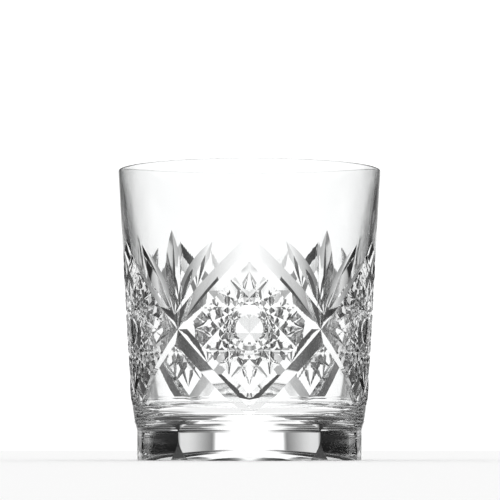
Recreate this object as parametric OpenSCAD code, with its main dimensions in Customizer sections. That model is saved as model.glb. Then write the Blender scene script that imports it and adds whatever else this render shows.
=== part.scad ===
// Cut-glass whiskey tumbler.
// One solid of glass: +Z is up and the origin is the centre of the underside.
// The pattern repeats five times round the wall. Each repeat is a diamond field
// with a 16-point star, framed by V-cut bands, a three-leaf fan where the bands
// cross, and one scooped flute in the base.

/* [Vessel] */
// Overall height, mm
height = 92.5; // [88:0.5:98]
// Diameter of the rim, mm
rim_d = 84; // [80:0.5:88]
// Diameter at the crease where the straight wall meets the base, mm
crease_d = 75.5; // [74:0.5:78]
// Height of that crease, mm
crease_z = 19.3; // [18:0.1:21]
// Thickness of the rounded rim, mm
rim_t = 1; // [0.8:0.1:1.4]
// Diameter of the inside where the flare of the rim begins, mm
throat_d = 79.9; // [78:0.1:80.5]
// Depth of that flare below the rim, mm
flare_h = 7.5; // [6:0.5:10]
// Diameter of the inside just above its rounded corner, mm
inner_foot_d = 65.6; // [62:0.2:67]
// Thickness of the solid base under the cavity, mm
base_t = 14.4; // [13:0.2:16]
// Radius of the rounded corner inside, mm
corner_r = 6; // [4:0.5:8]

/* [Base flutes] */
// Diameter over the ridges of the base, mm
ridge_d = 74.6; // [73:0.2:76]
// Height at which a flute is deepest, mm
flute_z = 7; // [6:0.5:8]
// Depth of a flute below the ridges, mm
flute_depth = 1.9; // [1.5:0.1:2.4]
// Depth of the hollow under the base, mm
punt_depth = 3.5; // [0.5:0.5:5]

/* [Cut pattern] */
// Number of repeats round the wall
repeats = 5; // [5]
// Height at which the bands cross, mm
cross_z = 40.4; // [39:0.2:42]
// Depth of a band's groove, mm
band_depth = 1.4; // [1:0.1:1.8]
// Width of a band's groove at the surface, mm
band_w = 6.2; // [5.6:0.1:7]
// Depth of a fan leaf, mm
leaf_depth = 1.1; // [0.8:0.1:1.4]
// Width of a fan leaf, mm
leaf_w = 5.4; // [4.5:0.1:6]
// Number of points on a star
star_points = 16; // [12:4:16]
// Outer radius of a star, mm
star_r = 16.8; // [14:0.2:17.4]
// Depth of a star's petals, mm
petal_depth = 0.9; // [0.6:0.1:1.1]

/* [Hidden] */
$fn = 96;

glass = [0.86, 0.91, 0.94, 0.45];
pitch = 360 / repeats;
over = 2;
band_overlap = 0.4;

rim_r = rim_d / 2;
crease_r = crease_d / 2;
ridge_r = ridge_d / 2;
lip_r = rim_t / 2;
foot_chamfer = 0.5;
drum_h = 12.1;
shoulder_z = 12.4;
flute_top = (drum_h + shoulder_z) / 2;
shoulder_r = 36.6;

// Outer radius of the uncut wall at height z.
function wall_r(z) = crease_r + (rim_r - crease_r) * (z - crease_z) / (height - crease_z);

// Points on an arc about c, from angle a to angle b.
function arc(c, r, a, b, steps = 6) = [
    for (i = [0:steps]) c + r * [cos(a + (b - a) * i / steps), sin(a + (b - a) * i / steps)]
];

// Places its children on the wall at angle a from the front (-Y) and height z,
// with X along the wall, Y up the wall and Z straight out of it.
module on_wall(a, z) {
    taper = atan((rim_r - crease_r) / (height - crease_z));
    rotate([0, 0, a])
        translate([0, -wall_r(z), z])
            rotate([90 + taper, 0, 0])
                children();
}

// Solid blank: straight tapered wall, a shoulder below the crease and the base drum.
module blank() {
    rotate_extrude()
        polygon(concat(
            [[0, 0], [ridge_r - foot_chamfer, 0], [ridge_r, foot_chamfer]],
            [[ridge_r, drum_h], [shoulder_r, shoulder_z], [crease_r, crease_z]],
            arc([rim_r - lip_r, height - lip_r], lip_r, 0, 90),
            [[0, height]]
        ));
}

// The space inside, which runs on above the rim.
module cavity() {
    corner_c = [inner_foot_d / 2 - corner_r, base_t + corner_r];
    rotate_extrude()
        polygon(concat(
            [[0, base_t]],
            arc(corner_c, corner_r, -90, 0),
            [[throat_d / 2, height - flare_h]],
            arc([rim_r - lip_r, height - lip_r], lip_r, 180, 90),
            [[rim_r - lip_r, height + over], [0, height + over]]
        ));
}

// Shallow turned hollow under the base, which leaves a flat ring to stand on.
module punt() {
    punt_r = 27;
    sphere_r = (punt_r * punt_r + punt_depth * punt_depth) / (2 * punt_depth);
    translate([0, 0, punt_depth - sphere_r])
        sphere(r = sphere_r);
}

// A wheel whose rim is a V: it cuts a pointed leaf that is deepest in the middle.
// Its lowest point is at the origin, its plane stands on Y, and it lies above Z = 0.
module v_wheel(r, rim_angle) {
    half_w = 3.2;
    rise = half_w * tan(rim_angle);
    translate([0, 0, r])
        rotate([0, 90, 0]) {
            cylinder(h = half_w, r1 = r, r2 = r - rise);
            mirror([0, 0, 1])
                cylinder(h = half_w, r1 = r, r2 = r - rise);
        }
}

// A leaf of given length, width and depth, centred on the origin and along Y.
module leaf_cut(length, width, depth) {
    r = (length * length / 4 + depth * depth) / (2 * depth);
    translate([0, 0, -depth])
        v_wheel(r, atan(2 * depth / width));
}

// A point on the wall: u along it from the front (-Y), z up, and out straight away from it.
function wall_point(u, z, out) =
    let (a = u / wall_r(cross_z) * 180 / PI, r = wall_r(z) + out) [r * sin(a), -r * cos(a), z];

// One band: a V-groove that climbs to the right at 45 degrees, from the foot of one diamond
// through a crossing to the head of the next. Its ends stand upright, so that two bands meet in a mitre.
module band_cut() {
    steps = 12;
    clear = 0.8;
    grow = 1 + clear / band_depth;
    half_h = grow * band_w / 2 * sqrt(2);
    reach = wall_r(cross_z) * PI * (pitch / 2 + band_overlap) / 180;
    points = [
        for (i = [0:steps], side = [-1, 0, 1])
            let (u = reach * (2 * i / steps - 1))
            wall_point(u, cross_z + u + side * half_h, side == 0 ? -band_depth : clear)
    ];
    walls = [
        for (i = [0:steps - 1], k = [0:2], half = [0, 1])
            let (a = 3 * i + k, b = 3 * i + (k + 1) % 3)
            half == 0 ? [a, b + 3, b] : [a, a + 3, b + 3]
    ];
    last = 3 * steps;
    polyhedron(points, concat([[0, 1, 2]], walls, [[last + 2, last + 1, last]]));
}

// Three leaves that spread upwards from a crossing.
module fan_cut() {
    leaf_l = 26;
    lean = 31;
    foot_z = cross_z + 4.5;
    for (side = [-1:1]) {
        a = side * lean;
        across = side * leaf_l / 2 * sin(lean);
        on_wall(across / wall_r(foot_z) * 180 / PI, foot_z + leaf_l / 2 * cos(a))
            rotate([0, 0, -a])
                leaf_cut(leaf_l, leaf_w, leaf_depth);
    }
}

// One petal of a star: a pointed V-cut from the button out to the tip, aimed at angle a.
// Its six corners are the two tips, the two widest places and the keel, and a ridge above the glass.
module petal_cut(a, inner, outer) {
    widest = inner + 0.45 * (outer - inner);
    half_w = PI * widest / star_points;
    clear = 0.6;
    grow = 1 + clear / petal_depth;
    function at(along, across, out) =
        wall_point(along * sin(a) + across * cos(a), cross_z + along * cos(a) - across * sin(a), out);
    points = [
        at(widest - (widest - inner) * grow, 0, clear),
        at(widest, half_w * grow, clear),
        at(widest + (outer - widest) * grow, 0, clear),
        at(widest, -half_w * grow, clear),
        at(widest, 0, -petal_depth),
        at(widest, 0, 3 * clear)
    ];
    faces = [for (i = [0:3], end = [4, 5]) let (j = (i + 1) % 4) end == 4 ? [i, j, end] : [j, i, end]];
    polyhedron(points, faces);
}

// Star of pointed petals round a raised button.
module star_cut() {
    button_r = 4.6;
    for (i = [0:star_points - 1])
        petal_cut(360 * i / star_points, button_r, star_r);
}

// One scooped flute of the base: gently convex round the drum and hollow from top to bottom.
module flute_cut() {
    scoop_r = 66;
    round_r = 48.6;
    translate([0, round_r - ridge_r + flute_depth, flute_z])
        intersection() {
            rotate_extrude($fn = 360)
                translate([round_r + scoop_r, 0])
                    circle(r = scoop_r, $fn = 360);
            translate([-ridge_r, -round_r - ridge_r, -flute_z - over])
                cube([2 * ridge_r, round_r + ridge_r, flute_top + over]);
        }
}

module tumbler() {
    color(glass)
        difference() {
            blank();
            cavity();
            punt();
            for (i = [0:repeats - 1]) {
                rotate([0, 0, pitch * i])
                    star_cut();
                rotate([0, 0, pitch * (i + 0.5)]) {
                    fan_cut();
                    band_cut();
                    mirror([1, 0, 0])
                        band_cut();
                }
                rotate([0, 0, pitch * i])
                    flute_cut();
            }
        }
}

tumbler();
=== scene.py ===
import math

import bmesh
import bpy
from mathutils import Matrix, Vector


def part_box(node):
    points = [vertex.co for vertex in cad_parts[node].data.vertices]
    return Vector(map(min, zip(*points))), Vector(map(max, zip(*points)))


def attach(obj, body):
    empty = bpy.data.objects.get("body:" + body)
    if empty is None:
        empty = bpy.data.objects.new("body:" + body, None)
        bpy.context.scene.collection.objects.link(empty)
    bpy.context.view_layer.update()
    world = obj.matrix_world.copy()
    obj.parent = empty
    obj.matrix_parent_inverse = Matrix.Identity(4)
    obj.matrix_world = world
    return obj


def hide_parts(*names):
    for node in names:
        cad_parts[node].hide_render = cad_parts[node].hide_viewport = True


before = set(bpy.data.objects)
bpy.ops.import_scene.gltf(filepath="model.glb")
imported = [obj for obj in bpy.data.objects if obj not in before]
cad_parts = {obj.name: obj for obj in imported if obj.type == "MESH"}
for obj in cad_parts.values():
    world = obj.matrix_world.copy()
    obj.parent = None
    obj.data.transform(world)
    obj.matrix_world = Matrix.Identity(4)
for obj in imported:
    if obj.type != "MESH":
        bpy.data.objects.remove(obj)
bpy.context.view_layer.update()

# The looks of a cut-glass whiskey tumbler. The glass is one piece: a turned body, carved by
# the bands and leaves of the CAD part and by a finer star and base panels than it has.
# Lengths in the modelling section are in millimetres, as in the CAD part, and become metres
# when a mesh is made. Places on the outside are given on the unrolled wall: u along it from
# the front (-Y), z up it, and out straight away from it.

MM = 0.001
NODE = "tumbler"
NODE_LOW, NODE_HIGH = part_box(NODE)

# Vessel
HEIGHT = NODE_HIGH[2] / MM
RIM_R = NODE_HIGH[0] / MM
CREASE_R = 37.75
CREASE_Z = 19.3
LIP_R = 0.5
FLARE_R = 39.95
FLARE_DROP = 7.5
INNER_FOOT_R = 32.8
BASE_T = 14.4
CORNER_R = 6.0
BOTTOM_RINGS_R = (18.0, 9.0, 0.0)

# Base
RIDGE_R = 37.3
BARREL_Z = 7.5
BARREL_R = 52.0
DRUM_H = 12.1
SHOULDER_Z = 12.4
SHOULDER_R = 36.6
FOOT_ROUND = 0.5
DRUM_RINGS_Z = (1.5, 2.5, 3.5, 4.5, 5.5, 6.5, 7.5, 8.5, 9.5, 10.5, 11.3, DRUM_H)
PANEL_R = 35.4
PANEL_ROUND_R = 48.6
PANEL_TOP_Z = 9.0
PANEL_COVE_R = 6.0
PANEL_MIDDLE_Z = 3.5
PANEL_REACH = math.radians(34)
PUNT_R = 27.0
PUNT_DEPTH = 3.5

# Cut pattern
REPEATS = 5
PITCH = 2 * math.pi / REPEATS
CROSS_Z = 40.4
BAND_DEPTH = 1.4
BAND_W = 6.2
BAND_CLEAR = 0.8
BAND_OVERLAP = math.radians(0.3)
FAN_FOOT_Z = CROSS_Z + 4.5
LEAF_LENGTH = 26.0
LEAF_W = 5.4
LEAF_DEPTH = 1.1
LEAF_LEAN = math.radians(31)
STAR_POINTS = 16
STAR_SKIP = 6
STAR_R = 17.3
CHORD_DEPTH = 0.85
CHORD_W = 3.0
BUTTON_R = 4.9
BUTTON_RING_W = 1.3
BUTTON_RING_DEPTH = 0.45
CUT_CLEAR = 0.5

# Studio. Each profile is how bright the surroundings are, as (degrees round from +Y, brightness).
# Each edge is where one profile gives way to the next, as two heights in degrees. The horizon's
# edge counts both up and down. All of them are tuned to the front view.
HORIZON_PROFILE = ((15.5, 1.0), (16.5, 0.2), (24, 0.6), (27, 0.7), (31, 0.7), (33, 0.01), (180, 0.02))
LEVEL_PROFILE = (
    (10, 1.0), (13, 0.6), (18, 0.2), (27, 0.12), (31, 0.01), (55, 0.01), (75, 0.6), (90, 0.9), (105, 0.2),
)
HIGH_PROFILE = ((10, 1.0), (13, 0.35), (16, 0.1), (22, 0.02), (60, 0.03), (90, 0.2), (140, 0.25))
LOW_PROFILE = ((12, 1.0), (15, 0.12), (20, 0.03), (38, 0.03), (55, 0.03), (80, 0.4), (110, 0.8))
DEEP_PROFILE = ((23, 1.0), (26, 0.08), (32, 0.03), (50, 0.05), (75, 0.6), (120, 0.85))
GROUND_PROFILE = ((23, 1.0), (26, 0.1), (30, 0.1), (37, 0.65), (60, 0.7), (120, 0.85))
DOWNWARD = 0.8
HORIZON_EDGE = (1.0, 1.8)
HIGH_EDGE = (8, 11)
LEVEL_EDGE = (-8, -4)
LOW_EDGE = (-15, -11)
DEEP_EDGE = (-22, -18)
GROUND_EDGE = (-50, -35)
BRIGHTEST = 1.18
ANY_BOUNCE = 0.5
FLOOR_R = 1500.0
FLOOR_GAP = 0.1
EYE_X = 0.2
EYE_DISTANCE = 930.0
EYE_Z = 5.0
AIM_Z = 67.0
SEEN_WIDTH = 159.5

# Fineness
TURNS = 360
BAND_STEPS = 72
LEAF_STEPS = 24
PUNT_STEPS = 12
FOOT_STEPS = 5
LIP_STEPS = 16
CORNER_STEPS = 20
COVE_STEPS = 12
PANEL_STEPS = 96
RING_STEPS = 64
FLOOR_STEPS = 128
SHARP = math.radians(5)
MOST_BOUNCES = 24
MOST_REFLECTIONS = 12


# ---------------------------------------------------------------- the wall and its unrolled space

def wall_radius(z):
    """Outer radius of the uncut wall at height z."""
    return CREASE_R + (RIM_R - CREASE_R) * (z - CREASE_Z) / (HEIGHT - CREASE_Z)


CROSS_R = wall_radius(CROSS_Z)


def wall_point(u, z, out):
    """The place in space, in metres, of a place on the unrolled wall."""
    angle = u / CROSS_R
    r = wall_radius(z) + out
    return Vector((r * math.sin(angle), -r * math.cos(angle), z)) * MM


def arc(centre, radius, start, stop, steps):
    """Outline points on an arc, with the angles in degrees."""
    angles = [math.radians(start + (stop - start) * i / steps) for i in range(steps + 1)]
    return [(centre[0] + radius * math.cos(a), centre[1] + radius * math.sin(a)) for a in angles]


# ---------------------------------------------------------------- meshes

def mesh_object(name, bm):
    """Turns a bmesh into an object in the scene."""
    bmesh.ops.recalc_face_normals(bm, faces=bm.faces)
    mesh = bpy.data.meshes.new(name)
    bm.to_mesh(mesh)
    bm.free()
    obj = bpy.data.objects.new(name, mesh)
    bpy.context.scene.collection.objects.link(obj)
    return obj


def lathe(name, outline, turns):
    """Turns an open outline, whose two ends lie on the axis, into a closed solid."""
    bm = bmesh.new()
    first = bm.verts.new(Vector((0, 0, outline[0][1])) * MM)
    last = bm.verts.new(Vector((0, 0, outline[-1][1])) * MM)
    rings = []
    for r, z in outline[1:-1]:
        angles = [2 * math.pi * i / turns for i in range(turns)]
        rings.append([bm.verts.new(Vector((r * math.cos(a), r * math.sin(a), z)) * MM) for a in angles])
    for i in range(turns):
        j = (i + 1) % turns
        bm.faces.new((first, rings[0][i], rings[0][j]))
        bm.faces.new((last, rings[-1][j], rings[-1][i]))
        for a, b in zip(rings, rings[1:]):
            bm.faces.new((a[i], b[i], b[j], a[j]))
    return mesh_object(name, bm)


def loft(name, sections, closed=False):
    """Joins equal sections into a solid, with flat ends or, if closed, into a ring."""
    bm = bmesh.new()
    rings = [[bm.verts.new(p) for p in section] for section in sections]
    count = len(sections[0])
    pairs = list(zip(rings, rings[1:]))
    if closed:
        pairs.append((rings[-1], rings[0]))
    for a, b in pairs:
        for i in range(count):
            j = (i + 1) % count
            bm.faces.new((a[i], a[j], b[j], b[i]))
    if not closed:
        bm.faces.new(rings[0])
        bm.faces.new(rings[-1])
    return mesh_object(name, bm)


def combine(base, tools, operation):
    """Applies one boolean for each tool to the base, and deletes the tools."""
    for tool in tools:
        modifier = base.modifiers.new(tool.name, "BOOLEAN")
        modifier.object = tool
        modifier.operation = operation
        modifier.solver = "MANIFOLD"
    evaluated = base.evaluated_get(bpy.context.evaluated_depsgraph_get())
    mesh = bpy.data.meshes.new_from_object(evaluated)
    base.modifiers.clear()
    base.data = mesh
    for tool in tools:
        bpy.data.objects.remove(tool)
    return base


def turned_copies(obj, count):
    """The object and its copies, spaced evenly round the axis."""
    copies = [obj]
    for i in range(1, count):
        copy = bpy.data.objects.new(f"{obj.name}_{i}", obj.data.copy())
        copy.data.transform(Matrix.Rotation(2 * math.pi * i / count, 4, "Z"))
        bpy.context.scene.collection.objects.link(copy)
        copies.append(copy)
    return copies


# ---------------------------------------------------------------- the glass

def barrel_radius(z):
    """Outer radius of the base drum at height z, before the panels are cut."""
    return RIDGE_R - (z - BARREL_Z) ** 2 / (2 * BARREL_R)


def outer_outline():
    """From the middle of the underside up the outside and over the rim."""
    punt_curve = (PUNT_R ** 2 + PUNT_DEPTH ** 2) / (2 * PUNT_DEPTH)
    punt = []
    for i in range(PUNT_STEPS + 1):
        r = PUNT_R * i / PUNT_STEPS
        punt.append((r, PUNT_DEPTH - punt_curve + math.sqrt(punt_curve ** 2 - r ** 2)))
    foot_r = barrel_radius(FOOT_ROUND)
    foot = arc((foot_r - FOOT_ROUND, FOOT_ROUND), FOOT_ROUND, -90, 0, FOOT_STEPS)
    drum = [(barrel_radius(z), z) for z in DRUM_RINGS_Z]
    shoulder = [(SHOULDER_R, SHOULDER_Z), (CREASE_R, CREASE_Z)]
    lip = arc((RIM_R - LIP_R, HEIGHT - LIP_R), LIP_R, 0, 180, LIP_STEPS)
    return punt + foot + drum + shoulder + lip


def inner_outline():
    """From the flare inside the rim down to the middle of the floor of the bowl."""
    corner = arc((INNER_FOOT_R - CORNER_R, BASE_T + CORNER_R), CORNER_R, 0, -90, CORNER_STEPS)
    bottom = [(r, BASE_T) for r in BOTTOM_RINGS_R]
    return [(FLARE_R, HEIGHT - FLARE_DROP)] + corner + bottom


def blank():
    """The turned glass before anything is cut in it."""
    return lathe("glass_tumbler", outer_outline() + inner_outline(), TURNS)


def leaf(name, u, z, lean, length, width, depth):
    """A pointed V-cut centred on (u, z), leaning from the upright, deepest in the middle."""
    along = (math.sin(lean), math.cos(lean))
    slope = 2 * depth / width
    sections = []
    for i in range(LEAF_STEPS + 1):
        t = 2 * i / LEAF_STEPS - 1
        s = t * length / 2
        local = depth * (1 - t * t)
        grow = (local + CUT_CLEAR) / slope
        cu, cz = u + along[0] * s, z + along[1] * s
        sections.append([
            wall_point(cu - along[1] * grow, cz + along[0] * grow, CUT_CLEAR),
            wall_point(cu, cz, -local),
            wall_point(cu + along[1] * grow, cz - along[0] * grow, CUT_CLEAR),
        ])
    return loft(name, sections)


def band(name, lean):
    """A V-groove at 45 degrees through a crossing, with upright ends that mitre at a diamond's tips."""
    reach = CROSS_R * (PITCH / 2 + BAND_OVERLAP)
    half_h = BAND_W / 2 * math.sqrt(2) * (1 + BAND_CLEAR / BAND_DEPTH)
    sections = []
    for i in range(BAND_STEPS + 1):
        u = reach * (2 * i / BAND_STEPS - 1)
        middle = CROSS_Z + u
        corners = ((middle - half_h, BAND_CLEAR), (middle, -BAND_DEPTH), (middle + half_h, BAND_CLEAR))
        sections.append([wall_point(lean * u, z, out) for z, out in corners])
    return loft(name, sections)


def fan():
    """Three leaves that spread upwards from a crossing."""
    leaves = []
    for side in (-1, 0, 1):
        lean = side * LEAF_LEAN
        u = side * LEAF_LENGTH / 2 * math.sin(LEAF_LEAN)
        z = FAN_FOOT_Z + LEAF_LENGTH / 2 * math.cos(lean)
        leaves.append(leaf(f"leaf_{side}", u, z, lean, LEAF_LENGTH, LEAF_W, LEAF_DEPTH))
    return leaves


def star():
    """Chords that join every sixth point of a circle and taper to nothing at its points."""
    half_span = math.pi * STAR_SKIP / STAR_POINTS
    offset = STAR_R * math.cos(half_span)
    length = 2 * STAR_R * math.sin(half_span)
    chords = []
    for i in range(STAR_POINTS):
        a = 2 * math.pi * i / STAR_POINTS
        u, z = offset * math.sin(a), CROSS_Z + offset * math.cos(a)
        chords.append(leaf(f"chord_{i}", u, z, a + math.pi / 2, length, CHORD_W, CHORD_DEPTH))
    return chords


def button():
    """A narrow ring-shaped groove that leaves a round button in the middle of the star."""
    grow = BUTTON_RING_W / 2 * (1 + CUT_CLEAR / BUTTON_RING_DEPTH)
    rows = ((BUTTON_R - grow, CUT_CLEAR), (BUTTON_R, -BUTTON_RING_DEPTH), (BUTTON_R + grow, CUT_CLEAR))
    sections = []
    for i in range(RING_STEPS):
        a = 2 * math.pi * i / RING_STEPS
        sections.append([wall_point(r * math.sin(a), CROSS_Z + r * math.cos(a), out) for r, out in rows])
    return loft("button", sections, closed=True)


def flute():
    """A panel cut in the base drum: gently convex round it, upright, with a cove at its top."""
    centre_y = PANEL_ROUND_R - PANEL_R
    below_foot = -2.0
    outside_r = PANEL_ROUND_R + 6.0
    rise = SHOULDER_Z - PANEL_TOP_Z
    rows = [(below_foot, PANEL_ROUND_R), (PANEL_MIDDLE_Z, PANEL_ROUND_R)]
    for i in range(COVE_STEPS + 1):
        z = rise * i / COVE_STEPS
        rows.append((PANEL_TOP_Z + z, PANEL_ROUND_R + PANEL_COVE_R - math.sqrt(PANEL_COVE_R ** 2 - z * z)))
    rows += [(SHOULDER_Z, outside_r), (below_foot, outside_r)]
    sections = []
    for i in range(PANEL_STEPS + 1):
        a = PANEL_REACH * (2 * i / PANEL_STEPS - 1)
        sections.append([Vector((r * math.sin(a), centre_y - r * math.cos(a), z)) * MM for z, r in rows])
    return loft("flute", sections)


def glass_body():
    """The whole tumbler: the blank, carved with five repeats of the pattern."""
    at_star = star() + [button()]
    at_cross = fan() + [band("band_1", 1), band("band_2", -1)]
    for obj in at_cross:
        obj.data.transform(Matrix.Rotation(PITCH / 2, 4, "Z"))
    tools = at_star + at_cross
    pattern = combine(tools[0], tools[1:], "UNION")
    body = blank()
    combine(body, turned_copies(flute(), REPEATS) + turned_copies(pattern, REPEATS), "DIFFERENCE")
    mesh = body.data
    mesh.shade_smooth()
    mesh.set_sharp_from_angle(angle=SHARP)
    return body


# ---------------------------------------------------------------- materials

def node(tree, kind, inputs=(), **settings):
    """Adds a shader node, with its settings and the values of its inputs."""
    made = tree.nodes.new(kind)
    for key, value in settings.items():
        setattr(made, key, value)
    for key, value in dict(inputs).items():
        made.inputs[key].default_value = value
    return made


def clear_glass():
    """Colourless crystal with the faint waviness of a fire-polished surface."""
    material = bpy.data.materials.new("clear_crystal")
    material.use_nodes = True
    tree = material.node_tree
    tree.nodes.clear()
    place = node(tree, "ShaderNodeTexCoord")
    waves = node(tree, "ShaderNodeTexNoise", {"Scale": 70.0, "Detail": 2.0})
    bump = node(tree, "ShaderNodeBump", {"Strength": 0.12, "Distance": 0.0004})
    glass = node(tree, "ShaderNodeBsdfPrincipled", {
        "Base Color": (0.985, 0.99, 0.99, 1), "Roughness": 0.0, "IOR": 1.54, "Transmission Weight": 1.0,
    })
    output = node(tree, "ShaderNodeOutputMaterial")
    tree.links.new(place.outputs["Object"], waves.inputs["Vector"])
    tree.links.new(waves.outputs["Fac"], bump.inputs["Height"])
    tree.links.new(bump.outputs["Normal"], glass.inputs["Normal"])
    tree.links.new(glass.outputs["BSDF"], output.inputs["Surface"])
    return material


def pale_floor():
    """Matt white studio surface that only the camera's own rays meet. All other rays pass through it."""
    material = bpy.data.materials.new("pale_floor")
    material.use_nodes = True
    tree = material.node_tree
    shader = tree.nodes["Principled BSDF"]
    shader.inputs["Base Color"].default_value = (0.97, 0.97, 0.97, 1)
    shader.inputs["Roughness"].default_value = 1.0
    shader.inputs["Specular IOR Level"].default_value = 0.0
    seen = node(tree, "ShaderNodeLightPath")
    unseen = node(tree, "ShaderNodeBsdfTransparent")
    choice = node(tree, "ShaderNodeMixShader")
    tree.links.new(seen.outputs["Is Camera Ray"], choice.inputs["Fac"])
    tree.links.new(unseen.outputs["BSDF"], choice.inputs[1])
    tree.links.new(shader.outputs["BSDF"], choice.inputs[2])
    tree.links.new(choice.outputs[0], tree.nodes["Material Output"].inputs["Surface"])
    return material


# ---------------------------------------------------------------- studio

def floor():
    """A round of pale studio surface just under the tumbler."""
    bm = bmesh.new()
    bmesh.ops.create_circle(bm, cap_ends=True, segments=FLOOR_STEPS, radius=FLOOR_R * MM)
    obj = mesh_object("floor", bm)
    obj.location.z = NODE_LOW[2] - FLOOR_GAP * MM
    obj.data.materials.append(pale_floor())


def math_node(tree, operation, a, b=None, c=None):
    """A Math node whose inputs are numbers or the outputs of other nodes."""
    made = node(tree, "ShaderNodeMath", operation=operation)
    for i, value in enumerate((a, b, c)):
        if value is None:
            continue
        if isinstance(value, (int, float)):
            made.inputs[i].default_value = value
        else:
            tree.links.new(value, made.inputs[i])
    return made.outputs[0]


def round_brightness(tree, angle, stops):
    """A brightness that follows an angle through stops of (degrees, brightness)."""
    ramp = node(tree, "ShaderNodeValToRGB")
    elements = ramp.color_ramp.elements
    while len(elements) < len(stops):
        elements.new(0.5)
    for element, (degrees, value) in zip(elements, stops):
        element.position = degrees / 180
        element.color = (value, value, value, 1)
    tree.links.new(math_node(tree, "DIVIDE", angle, math.pi), ramp.inputs["Fac"])
    return ramp.outputs["Color"]


def blend(tree, angle, edge, before, after):
    """Changes smoothly from one brightness to another as an angle crosses an edge."""
    share = node(tree, "ShaderNodeMapRange", {
        "From Min": math.radians(edge[0]), "From Max": math.radians(edge[1]),
    }, interpolation_type="SMOOTHSTEP")
    tree.links.new(angle, share.inputs["Value"])
    change = math_node(tree, "SUBTRACT", after, before)
    return math_node(tree, "MULTIPLY_ADD", change, share.outputs["Result"], before)


def studio_world():
    """Plain white to the camera and the floor. The glass meets bright backdrops and dark cards instead."""
    world = bpy.data.worlds.new("studio")
    bpy.context.scene.world = world
    world.use_nodes = True
    tree = world.node_tree
    tree.nodes.clear()
    coords = node(tree, "ShaderNodeTexCoord")
    split = node(tree, "ShaderNodeSeparateXYZ")
    tree.links.new(coords.outputs["Generated"], split.inputs[0])
    x, y, z = split.outputs
    around = math_node(tree, "ARCTAN2", math_node(tree, "ABSOLUTE", x), y)
    above = math_node(tree, "ARCSINE", z)
    horizon = round_brightness(tree, around, HORIZON_PROFILE)
    level = round_brightness(tree, around, LEVEL_PROFILE)
    high = round_brightness(tree, around, HIGH_PROFILE)
    low = round_brightness(tree, around, LOW_PROFILE)
    deep = round_brightness(tree, around, DEEP_PROFILE)
    ground = round_brightness(tree, around, GROUND_PROFILE)
    middle = blend(tree, math_node(tree, "ABSOLUTE", above), HORIZON_EDGE, horizon, level)
    upper = blend(tree, above, HIGH_EDGE, middle, high)
    down = blend(tree, above, GROUND_EDGE, DOWNWARD, ground)
    steep = blend(tree, above, DEEP_EDGE, down, deep)
    lower = blend(tree, above, LOW_EDGE, steep, low)
    backdrop = blend(tree, above, LEVEL_EDGE, lower, upper)
    seen = node(tree, "ShaderNodeLightPath")
    lights_floor = math_node(tree, "GREATER_THAN", seen.outputs["Diffuse Depth"], ANY_BOUNCE)
    plain = math_node(tree, "MAXIMUM", lights_floor, seen.outputs["Is Camera Ray"])
    strength = math_node(tree, "MAXIMUM", plain, math_node(tree, "MULTIPLY", backdrop, BRIGHTEST))
    light = node(tree, "ShaderNodeBackground", {"Color": (1, 1, 1, 1)})
    output = node(tree, "ShaderNodeOutputWorld")
    tree.links.new(strength, light.inputs["Strength"])
    tree.links.new(light.outputs[0], output.inputs["Surface"])


def camera():
    """Close to the height of the foot, looking slightly up at the tumbler."""
    eye = Vector((EYE_X, -EYE_DISTANCE, EYE_Z)) * MM
    aim = Vector((EYE_X, 0.0, AIM_Z)) * MM
    data = bpy.data.cameras.new("camera")
    data.sensor_width = 36.0
    data.lens = data.sensor_width * EYE_DISTANCE / SEEN_WIDTH
    obj = bpy.data.objects.new("camera", data)
    obj.location = eye
    obj.rotation_euler = (aim - eye).to_track_quat("-Z", "Y").to_euler()
    bpy.context.scene.collection.objects.link(obj)
    bpy.context.scene.camera = obj


def look():
    """Plain tones, and enough bounces for light to cross every wall of the glass."""
    scene = bpy.context.scene
    scene.view_settings.view_transform = "Standard"
    scene.cycles.max_bounces = MOST_BOUNCES
    scene.cycles.transmission_bounces = MOST_BOUNCES
    scene.cycles.glossy_bounces = MOST_REFLECTIONS


tumbler = glass_body()
tumbler.data.materials.clear()
tumbler.data.materials.append(clear_glass())
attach(tumbler, "root")
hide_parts(NODE)
floor()
studio_world()
camera()
look()
